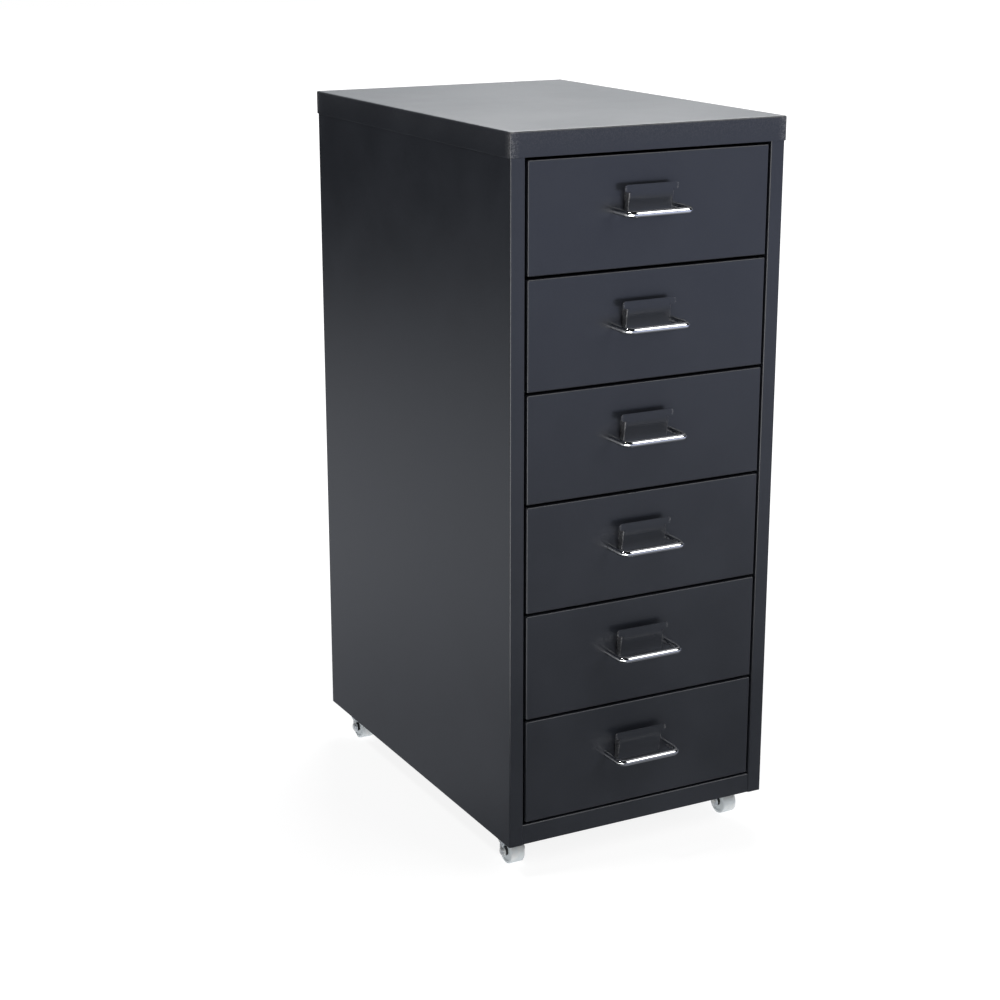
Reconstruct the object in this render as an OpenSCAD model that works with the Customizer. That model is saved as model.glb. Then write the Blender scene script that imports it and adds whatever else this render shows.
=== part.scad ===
// Small steel drawer cabinet on four swivel casters.
// Millimetres. X runs to the right seen from the front, the drawers open towards -Y, Z is up.
// The origin is on the floor, in the middle of the whole cabinet with its pulls.

/* [Cabinet] */
// Width of the top cover, the widest piece
cover_w = 280; // [260:1:360]
// Depth of the top cover
cover_d = 410; // [380:1:480]
// Height of the top above the floor
total_h = 685; // [660:1:760]
// Depth of the folded skirt round the top cover
skirt_h = 22; // [16:1:30]
// Thickness of the carcass sheet
sheet = 0.8; // [0.6:0.05:1.2]
// Inside radius of the carcass folds
fold_in = 0.6; // [0.4:0.1:1]
// Height of the body's lower edge above the floor
ride_h = 32; // [31:0.5:40]
// Width of the front posts beside the drawers
post_w = 14.4; // [12:0.2:20]
// Depth of the lip folded back from each post
post_lip = 12; // [8:0.5:15]
// Width of the flanges folded in along the back edge
rear_flange = 16; // [14:0.5:22]
// Height of the bottom rail's face
rail_h = 19.5; // [17:0.5:26]
// Depth of the flange folded back from either rail
rail_flange = 15; // [10:0.5:20]
// Depth of the returns round the back panel
back_return = 8; // [5:0.5:12]
// Height of the caster seat under the base pan above the floor
seat_h = 38.5; // [37.5:0.1:40]

/* [Drawers] */
// Gap between the drawer fronts and round them
front_gap = 2.6; // [2:0.1:3.5]
// Depth of the returns folded back round a drawer front
front_return = 12; // [8:0.5:16]
// Thickness of the drawer tray sheet
tray_sheet = 0.6; // [0.5:0.05:0.9]
// Inside radius of the tray folds
tray_fold = 0.7; // [0.5:0.1:1]
// Depth of a tray behind its front
tray_d = 386; // [340:1:388]
// Height of a tray's walls
tray_h = 84; // [60:1:86]
// Height of the hook folded down along each side wall
hook_h = 7; // [5:0.25:9]
// Width of the tabs welded behind the front
weld_tab = 10; // [8:0.5:14]
// Reach of the stop ear bent out at the rear of each hook
ear_reach = 10; // [8.5:0.25:12]

/* [Runners] */
// Thickness of the runner channels
runner_sheet = 0.8; // [0.6:0.05:1.2]
// How far a hook's lip reaches into its channel
bearing_w = 4.6; // [3:0.1:6]
// How far a drawer slides out before its ears meet the stop tabs
travel = 290; // [200:5:330]
// Depth of the stop tab bent into a channel
stop_reach = 8; // [6:0.25:10]

/* [Label holder] */
// Thickness of the holder's sheet
holder_sheet = 0.8; // [0.6:0.05:1]
// Width of the holder's front plate
plate_w = 46; // [36:0.5:60]
// Height of the plate below its ears
plate_h = 22; // [20:0.5:28]
// Height of the wider band along the top
band_h = 6.5; // [5:0.25:10]
// How far each ear of the band stands out beside the plate
ear_w = 4.2; // [2:0.1:6]
// Corner radius of the band
band_r = 2.4; // [1.5:0.1:3]
// How far the plate leans out from its foot to its band
band_step = 2.6; // [1:0.1:3.5]
// Height at which the plate starts to lean out
lean_z0 = 5; // [3:0.25:7]
// Height at which it is upright again, below its ears
lean_z1 = 19.5; // [15:0.25:21]
// Distance from the drawer front to the face of the plate at its foot
plate_out = 5.4; // [5.2:0.1:8]
// Height of the tongues that pass through the drawer front
tongue_h = 8; // [5:0.5:12]
// How far the tongues stand through the drawer front
tongue_out = 0.8; // [0.4:0.1:2]
// How far the plate reaches below the pull's wire
plate_drop = 5.5; // [4:0.25:8]

/* [Pull] */
// Diameter of the pull's wire
wire_d = 6; // [4.5:0.1:7]
// Width of the pull over its two arms
pull_w = 69; // [62:0.5:90]
// Distance from the drawer front to the pull's outermost point
pull_reach = 28; // [24:0.5:40]
// Inside radius of the pull's two bends
pull_bend = 4; // [2:0.25:8]
// Depth of the pull's middle line below the top edge of its drawer
pull_drop = 48.5; // [44:0.5:60]
// Offset of the pull and label holder from the middle of the drawer
pull_shift = -4.5; // [-8:0.5:8]
// Diameter of the screws that hold the pull
pull_screw_d = 3; // [2.5:0.1:3.5]
// Length of those screws below the head
pull_screw_l = 9; // [6:0.5:12]

/* [Casters] */
// Diameter of the wheels
wheel_d = 25; // [22:0.5:27]
// Width of the wheels
wheel_w = 14; // [10:0.5:18]
// Rounding of the tread's edges
tread_r = 1; // [0.5:0.25:3]
// Radius of the wheel's hub
hub_r = 4.5; // [3.8:0.1:5.5]
// How far the hub stands out on either side of the tread
hub_out = 1.8; // [0.5:0.1:2.5]
// Height of the rim left round the hollow of each side
rim_w = 2.6; // [2:0.1:4]
// Depth of that hollow
dish = 0.6; // [0.3:0.1:1.5]
// Diameter of the axle rivets
axle_d = 4; // [3:0.1:5]
// Distance from the swivel to the axle
trail = 7; // [5:0.25:9]
// Thickness of the fork's sheet
fork_sheet = 1.5; // [1.2:0.1:2]
// Reach of the fork's crown behind the kingpin
crown_back = 9; // [8:0.5:11]
// Reach of the crown ahead of the kingpin
crown_front = 6; // [5:0.5:8]
// Width of the fork's arms where they meet the eyes
arm_w = 5; // [4:0.25:7]
// Radius of the fork's eyes round the axle
cheek_r = 5; // [4:0.1:6]
// Diameter of the kingpin the fork turns on
kingpin_d = 6; // [5:0.1:7]
// Diameter of the swivel race above the fork
race_d = 20; // [16:0.5:24]
// Diameter of the threaded stem
stem_d = 8; // [6:0.1:10]
// Width of the stem's nut across its flats
nut_af = 13; // [12:0.1:16]
// Height of the nut
nut_h = 5; // [4:0.1:6]
// Distance from either side of the body to the stems
stem_side = 20.5; // [18:0.5:40]
// Distance from the front of the body to the front stems
stem_front = 40; // [32:0.5:60]
// Distance from the back of the body to the rear stems
stem_back = 29; // [28:0.5:60]

/* [Rivets] */
// Diameter of the back panel's rivets
rivet_d = 4; // [3:0.1:5]
// Number of rivets down each side of the back panel
rivet_n = 5; // [2:1:8]

/* [Clearances] */
// Gap between panels that nest in each other
panel_fit = 0.15; // [0.05:0.05:0.3]
// Side play of a tray between its two runners
tray_play = 0.8; // [0.5:0.1:1.5]
// Play of a hook above the runner's floor and below its roof
hook_play = 0.4; // [0.3:0.05:0.8]
// Side play between a hook and the posts it passes
post_play = 1; // [0.6:0.1:1.5]
// Gap between a stop ear and the tab it meets
stop_play = 0.5; // [0.3:0.1:1]
// Radial clearance of a screw or stem in its hole
hole_fit = 0.2; // [0.1:0.05:0.4]
// Radial clearance drawn between a screw thread and its nut
thread_fit = 0.05; // [0.02:0.01:0.1]
// Radial clearance of the fork on its kingpin and the wheel on its axle
pin_fit = 0.06; // [0.03:0.01:0.1]
// Gap between the wheel's hub and the fork beside it
wheel_play = 0.4; // [0.3:0.1:1]
// Gap between the fork's crown and the race above it
race_play = 0.3; // [0.3:0.05:0.6]
// Gap between the tread and the kingpin's rivet head
head_play = 0.8; // [0.5:0.1:1.5]

/* [Hidden] */
$fn = 48;
DRAWERS = [1, 2, 3, 4, 5, 6];

paint = [0.2, 0.205, 0.225];
zinc = [0.74, 0.76, 0.78];
chrome = [0.86, 0.86, 0.87];
wheel_grey = [0.8, 0.83, 0.85];

// Carcass: the body sits inside the cover, and every panel inside its neighbour
cover_lap = sheet + panel_fit;
body_w = cover_w - 2 * cover_lap;
body_d = cover_d - 2 * cover_lap;
face_y = pull_reach - (cover_d - cover_lap + pull_reach) / 2;
rear_y = face_y + body_d;
body_top = total_h - sheet - fold_in;
cover_seat = total_h - sheet;
bay_w = body_w - 2 * (sheet + panel_fit);
rail_y = face_y + sheet + panel_fit;
rail_w = bay_w - 2 * fold_in;
open_w = body_w - 2 * post_w;
open_z0 = ride_h + rail_h;
open_z1 = total_h - skirt_h;
back_y = rear_y - sheet - panel_fit;
floor_z = seat_h + sheet;

// Drawers: equal fronts share the opening
drawer_n = len(DRAWERS);
front_w = open_w - 2 * front_gap;
front_h = (open_z1 - open_z0 - (drawer_n + 1) * front_gap) / drawer_n;
function front_z(i) = open_z1 - i * (front_h + front_gap);
hook_x = open_w / 2 - post_play;
tray_y0 = face_y + sheet + panel_fit;
tray_y1 = tray_y0 + tray_d;
hook_y0 = face_y + front_return + hook_play;
function tray_z(i) = front_z(i) + sheet + fold_in;
function hook_z(i) = tray_z(i) + tray_h;

// Runners: the channel's mouth stops short of the tray's wall, its web is on the side panel
web_x = bay_w / 2;
mouth_x = hook_x - bearing_w;
runner_y0 = face_y + max(post_lip, front_return) + stop_play;
runner_y1 = tray_y1 + stop_play + runner_sheet;
stop_y = tray_y1 - tray_sheet - stop_play - travel - runner_sheet;
runner_h = hook_h + 2 * hook_play + 2 * runner_sheet;
tray_w = 2 * (mouth_x - tray_play);

// Casters: a wheel ahead of each stem, the fork's crown clear above the wheel
axle_z = wheel_d / 2;
wheel_top_z = axle_z + sqrt(pow(wheel_d / 2, 2) - pow(max(trail - pin_head_r(), 0), 2));
pin_head_h = 1.2;
crown_z0 = wheel_top_z + head_play + pin_head_h + race_play;
crown_z1 = crown_z0 + fork_sheet;
race_z = crown_z1 + race_play;
race_plate = 2;
race_lip = 1;
collar_r = 0.35 * race_d;
crown_drop = 3;
cheek_in = wheel_w / 2 + hub_out + wheel_play;
cheek_out = cheek_in + fork_sheet;
eye_turn = 15;
axle_head_r = 3.6;
axle_head_h = 1.3;
nut_crest = 2;
function pin_head_r() = kingpin_d / 2 + 1.2;
stem_x = body_w / 2 - stem_side;
CORNERS = [
    [-stem_x, face_y + stem_front],
    [stem_x, face_y + stem_front],
    [-stem_x, rear_y - stem_back],
    [stem_x, rear_y - stem_back]
];

// Pull and label holder, measured from the bottom edge of the drawer front
pull_z = front_h - pull_drop;
arm_x = (pull_w - wire_d) / 2;
plate_z = pull_z - plate_drop;
ear_relief = 0.5;
foot_r = 1.5 * holder_sheet;
LEAN_STEPS = 12;
rivet_pitch = (open_z1 - open_z0 - 2 * rail_flange) / (rivet_n - 1);
rivet_head_r = rivet_d;
rivet_head_h = 0.9;
rivet_bulb_r = 0.75 * rivet_d;
rivet_bulb_h = 2.5;
screw_head_r = pull_screw_d;
screw_head_h = 0.7 * pull_screw_d;
screw_slot_w = 0.8;

// Overlap that joins two bodies, and how far a cut runs on past what it cuts
EPS = 0.01;
OVER = 1;

// ---- shapes that repeat ----

// Quarter ring of a fold, turning left (1) or right (-1) at the end of a flat that runs along +X
module fold_arc(t, r, side) {
    translate([0, side * (r + t / 2)])
        difference() {
            intersection() {
                circle(r + t);
                translate([0, side > 0 ? -r - t : 0]) square(r + t);
            }
            circle(r);
        }
}

// Sheet bent square along straight folds, seen end on: legs run corner to corner down its middle
module bent(legs, sides, t, r, i = 0) {
    setback = r + t / 2;
    from = i == 0 ? 0 : setback;
    to = i < len(sides) ? legs[i] - setback : legs[i];
    translate([from, -t / 2]) square([to - from, t]);
    if (i < len(sides)) {
        translate([to, 0]) fold_arc(t, r, sides[i]);
        translate([legs[i], 0]) rotate(90 * sides[i]) bent(legs, sides, t, r, i + 1);
    }
}

// Rectangle with its top corners rounded, standing on the X axis
module crown(w, h, r) {
    translate([-w / 2, 0]) square([w, h - r]);
    translate([r - w / 2, 0]) square([w - 2 * r, h]);
    for (side = [-1, 1]) translate([side * (w / 2 - r), h - r]) circle(r);
}

// Rectangle with all four corners rounded
module rounded(w, d, r) {
    square([w, d - 2 * r], center = true);
    square([w - 2 * r, d], center = true);
    for (x = [-1, 1], y = [-1, 1]) translate([x * (w / 2 - r), y * (d / 2 - r)]) circle(r);
}

// Solid block, rounded over its top edges and its upright corners
module pillow(w, d, h, r) {
    intersection() {
        linear_extrude(h) rounded(w, d, r);
        rotate([90, 0, 0]) linear_extrude(d, center = true) crown(w, h, r);
        rotate([90, 0, 90]) linear_extrude(w, center = true) crown(d, h, r);
    }
}

// Shallow folded pan, open below, with rounded folds and welded corners
module pan(w, d, h, t, r) {
    difference() {
        pillow(w, d, h, r + t);
        translate([0, 0, -OVER]) pillow(w - 2 * t, d - 2 * t, h - t + OVER, r);
    }
}

// Extrude a profile drawn in X and Z along Y, from y0 to y1
module along_y(y0, y1) {
    translate([0, y1, 0]) rotate([90, 0, 0]) linear_extrude(y1 - y0) children();
}

// Extrude a profile drawn in Y and Z along X, from x0 to x1
module along_x(x0, x1) {
    translate([x0, 0, 0]) rotate([90, 0, 90]) linear_extrude(x1 - x0) children();
}

// ---- carcass ----

module top_cover() {
    color(paint)
        translate([0, (face_y + rear_y) / 2, open_z1])
            pan(cover_w, cover_d, skirt_h, sheet, fold_in);
}

// Right-hand panel, in plan from the post's lip round the web to the rear flange
module side_panel() {
    half = sheet / 2;
    difference() {
        translate([0, 0, ride_h])
            linear_extrude(body_top - ride_h)
                translate([body_w / 2 - post_w + half, face_y + post_lip])
                    rotate(-90)
                        bent([post_lip - half, post_w - sheet, body_d - sheet, rear_flange - half],
                             [1, 1, 1], sheet, fold_in);
        // the lip is cut away where the rails pass behind the post
        for (z = [[ride_h - OVER, open_z0 + panel_fit], [open_z1, body_top + OVER]])
            translate([open_w / 2 - OVER, rail_y - panel_fit, z[0]])
                cube([sheet + fold_in + OVER, post_lip + OVER, z[1] - z[0]]);
        rivet_places() cylinder(r = rivet_d / 2 + hole_fit, h = 4 * sheet, center = true);
    }
}

module right_side_panel() {
    color(paint) side_panel();
}

module left_side_panel() {
    color(paint) mirror([1, 0, 0]) side_panel();
}

// Each rivet's place down the right rear flange, with Z pointing out of the back
module rivet_places() {
    for (i = [0 : rivet_n - 1])
        translate([body_w / 2 - rear_flange / 2, rear_y, open_z0 + rail_flange + i * rivet_pitch])
            rotate([-90, 0, 0]) children();
}

module back_panel() {
    bottom = ride_h + panel_fit;
    height = cover_seat - bottom;
    color(paint)
        difference() {
            translate([0, back_y - back_return, bottom + height / 2])
                rotate([-90, 0, 0])
                    pan(bay_w, height, back_return, sheet, fold_in);
            for (side = [0, 1])
                mirror([side, 0, 0])
                    rivet_places() cylinder(r = rivet_d / 2 + hole_fit, h = 6 * sheet, center = true);
        }
}

// Blind rivet: low domed head outside, shank through both sheets, swelled end inside
module rivet() {
    grip = 2 * sheet + panel_fit;
    dome_r = (pow(rivet_head_r, 2) + pow(rivet_head_h, 2)) / (2 * rivet_head_h);
    intersection() {
        translate([0, 0, rivet_head_h - dome_r]) sphere(dome_r);
        cylinder(r = rivet_head_r, h = rivet_head_h);
    }
    translate([0, 0, -grip - EPS]) cylinder(r = rivet_d / 2, h = grip + 2 * EPS);
    translate([0, 0, -grip - rivet_bulb_h]) cylinder(r = rivet_bulb_r, h = rivet_bulb_h);
}

module back_rivets() {
    color(paint)
        for (side = [0, 1])
            mirror([side, 0, 0]) rivet_places() rivet();
}

module base_pan() {
    front = rail_y + sheet + panel_fit;
    depth = back_y - back_return - panel_fit - front;
    rim_h = floor_z - ride_h - panel_fit;
    color(paint)
        difference() {
            translate([0, front + depth / 2, floor_z - rim_h])
                pan(bay_w, depth, rim_h, sheet, fold_in);
            for (p = CORNERS)
                translate([p[0], p[1], seat_h - OVER])
                    cylinder(r = stem_d / 2 + hole_fit, h = sheet + 2 * OVER);
        }
}

// Folded angle: face up from the body's lower edge, flange back under the lowest drawer
module bottom_rail() {
    half = sheet / 2;
    color(paint)
        along_x(-rail_w / 2, rail_w / 2)
            translate([rail_y + half, ride_h])
                rotate(90)
                    bent([rail_h - half, rail_flange - half], [-1], sheet, fold_in);
}

// The same angle upside down behind the cover's skirt
module top_rail() {
    half = sheet / 2;
    color(paint)
        along_x(-rail_w / 2, rail_w / 2)
            translate([rail_y + half, open_z1 + sheet])
                rotate(90)
                    bent([cover_seat - open_z1 - sheet - half, rail_flange - half], [-1], sheet, fold_in);
}

// Right-hand channel round one drawer's hook, with the tabs that stop it in front and behind
module runner(i) {
    half = runner_sheet / 2;
    z0 = hook_z(i) - hook_h - hook_play - runner_sheet;
    along_y(runner_y0, runner_y1)
        translate([mouth_x, z0 + half])
            bent([web_x - mouth_x - half, runner_h - runner_sheet, web_x - mouth_x - half],
                 [1, 1], runner_sheet, fold_in);
    for (y = [stop_y, runner_y1 - runner_sheet])
        translate([web_x - stop_reach, y, z0 + half])
            cube([stop_reach - half, runner_sheet, runner_h - runner_sheet]);
}

module right_runners() {
    color(paint) for (i = DRAWERS) runner(i);
}

module left_runners() {
    color(paint) mirror([1, 0, 0]) for (i = DRAWERS) runner(i);
}

// ---- drawers ----

// Folded pan facing forward, holed for the pull's screws and slotted for the holder's tongues
module drawer_front(i) {
    color(paint)
        difference() {
            translate([0, face_y + front_return, front_z(i) + front_h / 2])
                rotate([90, 0, 0])
                    pan(front_w, front_h, front_return, sheet, fold_in);
            for (side = [-1, 1]) {
                translate([pull_shift + side * arm_x, face_y - OVER, front_z(i) + pull_z])
                    rotate([-90, 0, 0])
                        cylinder(r = pull_screw_d / 2 + hole_fit, h = sheet + 2 * OVER);
                tongue(i, side, hole_fit, OVER);
            }
        }
}

// Box folded from thin sheet: hooked side walls, rear wall, weld tabs in front, stop ears behind
module drawer_tray(i) {
    half = tray_sheet / 2;
    wall_x = tray_w / 2 - half;
    z0 = tray_z(i);
    color(paint) {
        along_y(tray_y0, tray_y1)
            translate([-wall_x, z0 + tray_h - tray_fold - tray_sheet])
                rotate(-90)
                    bent([tray_h - tray_fold - tray_sheet - half, 2 * wall_x,
                          tray_h - tray_fold - tray_sheet - half], [1, 1], tray_sheet, tray_fold);
        for (side = [0, 1])
            mirror([side, 0, 0]) {
                along_y(hook_y0, tray_y1) hook_profile(z0 + tray_h);
                stop_ear(z0 + tray_h);
                translate([tray_w / 2 - weld_tab, tray_y0, z0 + tray_fold + tray_sheet])
                    cube([weld_tab - half, tray_sheet, tray_h - 2 * (tray_fold + tray_sheet)]);
            }
        translate([-wall_x, tray_y1 - tray_sheet, z0 + half])
            cube([2 * wall_x, tray_sheet, tray_h - tray_fold - tray_sheet - half]);
        translate([weld_tab - tray_w / 2, tray_y0, z0 + half])
            cube([tray_w - 2 * weld_tab, tray_sheet, weld_tab]);
    }
}

// Hook along a side wall: out over the runner's floor, then down
module hook_profile(z) {
    half = tray_sheet / 2;
    translate([tray_w / 2 - half, z - tray_fold - 2 * tray_sheet])
        rotate(90)
            bent([tray_fold + 2 * tray_sheet - half, hook_x - tray_w / 2, hook_h - half],
                 [-1, -1], tray_sheet, tray_fold);
}

// Ear bent out of the hook's rear end, which meets the runner's tabs
module stop_ear(z) {
    translate([hook_x - tray_sheet / 2, tray_y1 - tray_sheet, z - hook_h])
        cube([ear_reach, tray_sheet, hook_h - tray_sheet]);
}

// Tongue of the label holder through the drawer front, or with a gap round it the slot it fits
module tongue(i, side, gap, out) {
    x = pull_shift + (side > 0 ? plate_w / 2 - holder_sheet : -plate_w / 2);
    z = front_z(i) + plate_z + (plate_h - tongue_h) / 2;
    translate([x - gap, face_y - gap - EPS, z - gap])
        cube([holder_sheet + 2 * gap, sheet + out + gap + EPS, tongue_h + 2 * gap]);
}

// Outline of the plate with its wider band, seen from the front
module plate_outline() {
    corner = min(band_r, 0.45 * band_h);
    translate([-plate_w / 2, 0]) square([plate_w, plate_h + band_h / 2]);
    translate([0, plate_h + band_h / 2]) rounded(plate_w + 2 * ear_w, band_h, corner);
}

// How far the plate has leaned out at height z: half a wave between its two upright parts
function lean(z) =
    let (share = (z - lean_z0) / (lean_z1 - lean_z0))
        band_step * (1 - cos(180 * max(0, min(1, share)))) / 2;

// Line up the plate's sheet at depth t behind its face: round the foot's fold, then up to z
function plate_line(t, z) = [
    for (a = [0 : 15 : 90])
        [foot_r - plate_out - (foot_r - t) * sin(a), foot_r - (foot_r - t) * cos(a)],
    for (k = [0 : LEAN_STEPS])
        let (h = lean_z0 + (lean_z1 - lean_z0) * k / LEAN_STEPS) [t - plate_out - lean(h), h],
    [t - plate_out - band_step, z]
];

function reversed(list) = [for (k = [len(list) - 1 : -1 : 0]) list[k]];

// Plate seen from its side: ledge at the foot, flat, soft lean outwards, upright band
module plate_section() {
    face = plate_line(0, plate_h + band_h);
    inside = plate_line(holder_sheet, plate_h + band_h);
    polygon(concat([[0, 0]], face, reversed(inside), [[0, holder_sheet]]));
}

// Side flange under the plate, from the drawer front out to the middle of the plate's sheet
module flange_outline() {
    top = plate_h - ear_relief;
    polygon(concat([[0, holder_sheet / 2]], plate_line(holder_sheet / 2, top), [[0, top]]));
}

// Card pocket: plate and ledge, two side flanges, and tongues through the drawer front
module label_holder(i) {
    band_w = plate_w + 2 * ear_w;
    color(paint)
        translate([pull_shift, face_y, front_z(i) + plate_z]) {
            intersection() {
                along_x(-band_w / 2, band_w / 2) plate_section();
                along_y(-plate_out - band_step - OVER, OVER) plate_outline();
            }
            for (x = [-plate_w / 2, plate_w / 2 - holder_sheet])
                along_x(x, x + holder_sheet) flange_outline();
        }
    color(paint) for (side = [-1, 1]) tongue(i, side, 0, tongue_out);
}

// Bright wire bent to a U, its tapped ends on the drawer front
module pull(i) {
    r = wire_d / 2;
    bend = pull_bend + r;
    arm = pull_reach - r - bend;
    color(chrome)
        difference() {
            translate([pull_shift, face_y, front_z(i) + pull_z]) {
                for (side = [-1, 1]) {
                    translate([side * arm_x, 0, 0]) rotate([90, 0, 0]) cylinder(r = r, h = arm);
                    translate([side * (arm_x - bend), -arm, 0])
                        mirror([side < 0 ? 1 : 0, 0, 0])
                            rotate([0, 0, -90]) rotate_extrude(angle = 90) translate([bend, 0]) circle(r);
                }
                translate([bend - arm_x, r - pull_reach, 0])
                    rotate([0, 90, 0]) cylinder(r = r, h = 2 * (arm_x - bend));
            }
            for (side = [-1, 1])
                translate([pull_shift + side * arm_x, face_y + OVER, front_z(i) + pull_z])
                    rotate([90, 0, 0])
                        cylinder(r = pull_screw_d / 2 + thread_fit, h = pull_screw_l - sheet + 2 * OVER);
        }
}

// Pan-head screws from inside the drawer into the pull's ends
module pull_screws(i) {
    color(zinc)
        for (side = [-1, 1])
            translate([pull_shift + side * arm_x, face_y + sheet, front_z(i) + pull_z])
                rotate([-90, 0, 0]) {
                    translate([0, 0, -pull_screw_l]) cylinder(r = pull_screw_d / 2, h = pull_screw_l + EPS);
                    difference() {
                        cylinder(r = screw_head_r, h = screw_head_h);
                        for (a = [0, 90])
                            rotate(a)
                                translate([0, 0, screw_head_h])
                                    cube([screw_head_r, screw_slot_w, screw_head_h], center = true);
                    }
                }
}

// ---- casters ----

// Race and kingpin under the base pan, threaded stem up through it
module caster_stem(c) {
    color(zinc)
        translate([CORNERS[c][0], CORNERS[c][1], 0]) {
            translate([0, 0, race_z]) cylinder(r = race_d / 2, h = race_plate);
            translate([0, 0, race_z + race_plate - EPS])
                cylinder(r1 = race_d / 2 - race_lip, r2 = collar_r, h = seat_h - race_z - race_plate + EPS);
            translate([0, 0, seat_h - EPS]) cylinder(r = stem_d / 2, h = sheet + nut_h + nut_crest + EPS);
            translate([0, 0, crown_z0 - race_play - EPS])
                cylinder(r = kingpin_d / 2, h = race_z - crown_z0 + race_play + 2 * EPS);
            translate([0, 0, crown_z0 - race_play - pin_head_h])
                cylinder(r = pin_head_r(), h = pin_head_h);
        }
}

// Fork seen from its side: crown round the kingpin, arms slanting down to the eyes round the axle.
// An arm's lower edge runs a little way into its eye, so that line and circle cross.
module cheek_outline() {
    axle = [-trail, axle_z];
    back = [crown_back, crown_z1 - crown_drop];
    front = [-crown_front, crown_z1 - crown_drop];
    eye_top = cheek_r * [-sin(eye_turn), cos(eye_turn)];
    neck = axle + eye_top + arm_w * [cos(eye_turn), sin(eye_turn)];
    polygon([
        [front[0], crown_z1], front, axle + eye_top, axle,
        touch(neck, axle, 0.98 * cheek_r, 1), neck, back, [back[0], crown_z1]
    ]);
    translate(axle) circle(cheek_r);
}

// Where the line from p just touches the circle of radius r round c, on its left (1) or right (-1)
function touch(p, c, r, side) =
    let (d = norm(p - c), a = atan2(p[1] - c[1], p[0] - c[0]) - side * acos(r / d))
        c + r * [cos(a), sin(a)];

module caster_fork(c) {
    half = fork_sheet / 2;
    drop = crown_z1 - axle_z + cheek_r + OVER;
    color(zinc)
        translate([CORNERS[c][0], CORNERS[c][1], 0])
            difference() {
                intersection() {
                    along_y(-trail - cheek_r - OVER, crown_back + OVER)
                        translate([-cheek_out + half, crown_z1 - drop])
                            rotate(90)
                                bent([drop - half, 2 * (cheek_out - half), drop - half],
                                     [-1, -1], fork_sheet, half);
                    along_x(-cheek_out - OVER, cheek_out + OVER) cheek_outline();
                }
                cylinder(r = kingpin_d / 2 + pin_fit, h = 2 * crown_z1);
                translate([0, -trail, axle_z])
                    rotate([0, 90, 0])
                        cylinder(r = axle_d / 2 + pin_fit, h = 2 * (cheek_out + OVER), center = true);
            }
}

// Rivet through both cheeks, with a low round head outside each
module caster_axle(c) {
    color(zinc)
        translate([CORNERS[c][0], CORNERS[c][1] - trail, axle_z])
            rotate([0, 90, 0]) {
                cylinder(r = axle_d / 2, h = 2 * cheek_out + 2 * EPS, center = true);
                for (side = [0, 1])
                    mirror([0, 0, side])
                        translate([0, 0, cheek_out])
                            intersection() {
                                cylinder(r = axle_head_r, h = axle_head_h);
                                translate([0, 0, -axle_head_r]) sphere(axle_head_r + axle_head_h);
                            }
            }
}

// Half section of a wheel: rounded tread, shallow hollow in each side, hub that stands out
module wheel_section() {
    r = wheel_d / 2;
    half = wheel_w / 2;
    translate([0, -half - hub_out]) square([hub_r, 2 * (half + hub_out)]);
    translate([0, dish - half]) square([r - rim_w + EPS, 2 * (half - dish)]);
    translate([r - rim_w, -half]) square([rim_w - tread_r, 2 * half]);
    translate([r - tread_r - EPS, tread_r - half]) square([tread_r + EPS, 2 * (half - tread_r)]);
    for (side = [-1, 1]) translate([r - tread_r, side * (half - tread_r)]) circle(tread_r);
}

module caster_wheel(c) {
    color(wheel_grey)
        translate([CORNERS[c][0], CORNERS[c][1] - trail, axle_z])
            rotate([0, 90, 0])
                difference() {
                    rotate_extrude() wheel_section();
                    cylinder(r = axle_d / 2 + pin_fit, h = 2 * (cheek_in + OVER), center = true);
                }
}

module caster_nuts() {
    color(zinc)
        for (p = CORNERS)
            translate([p[0], p[1], floor_z])
                difference() {
                    cylinder(r = nut_af / sqrt(3), h = nut_h, $fn = 6);
                    translate([0, 0, -OVER]) cylinder(r = stem_d / 2 + thread_fit, h = nut_h + 2 * OVER);
                }
}

top_cover();
left_side_panel();
right_side_panel();
back_panel();
back_rivets();
base_pan();
bottom_rail();
top_rail();
left_runners();
right_runners();
caster_nuts();
for (i = DRAWERS) {
    drawer_front(i);
    drawer_tray(i);
    label_holder(i);
    pull(i);
    pull_screws(i);
}
for (c = [0 : 3]) {
    place = ["fl", "fr", "bl", "br"][c];
    caster_stem(c);
    caster_fork(c);
    caster_axle(c);
    caster_wheel(c);
}
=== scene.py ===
import math

import bmesh
import bpy
import numpy as np
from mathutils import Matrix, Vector


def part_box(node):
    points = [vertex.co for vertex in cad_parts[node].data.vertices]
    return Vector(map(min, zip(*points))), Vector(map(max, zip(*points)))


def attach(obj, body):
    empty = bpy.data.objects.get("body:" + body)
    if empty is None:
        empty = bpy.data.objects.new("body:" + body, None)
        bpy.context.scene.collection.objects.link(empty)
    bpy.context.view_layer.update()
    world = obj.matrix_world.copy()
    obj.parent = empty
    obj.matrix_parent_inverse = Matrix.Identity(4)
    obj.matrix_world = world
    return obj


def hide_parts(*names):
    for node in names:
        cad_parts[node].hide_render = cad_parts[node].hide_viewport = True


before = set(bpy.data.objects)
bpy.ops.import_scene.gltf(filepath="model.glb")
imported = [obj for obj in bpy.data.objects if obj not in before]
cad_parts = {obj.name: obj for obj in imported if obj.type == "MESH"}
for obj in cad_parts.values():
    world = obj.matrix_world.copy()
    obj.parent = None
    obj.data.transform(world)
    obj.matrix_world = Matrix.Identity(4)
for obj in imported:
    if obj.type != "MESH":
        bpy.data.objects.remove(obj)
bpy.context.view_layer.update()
bpy.context.scene.view_settings.view_transform = "Standard"

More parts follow.
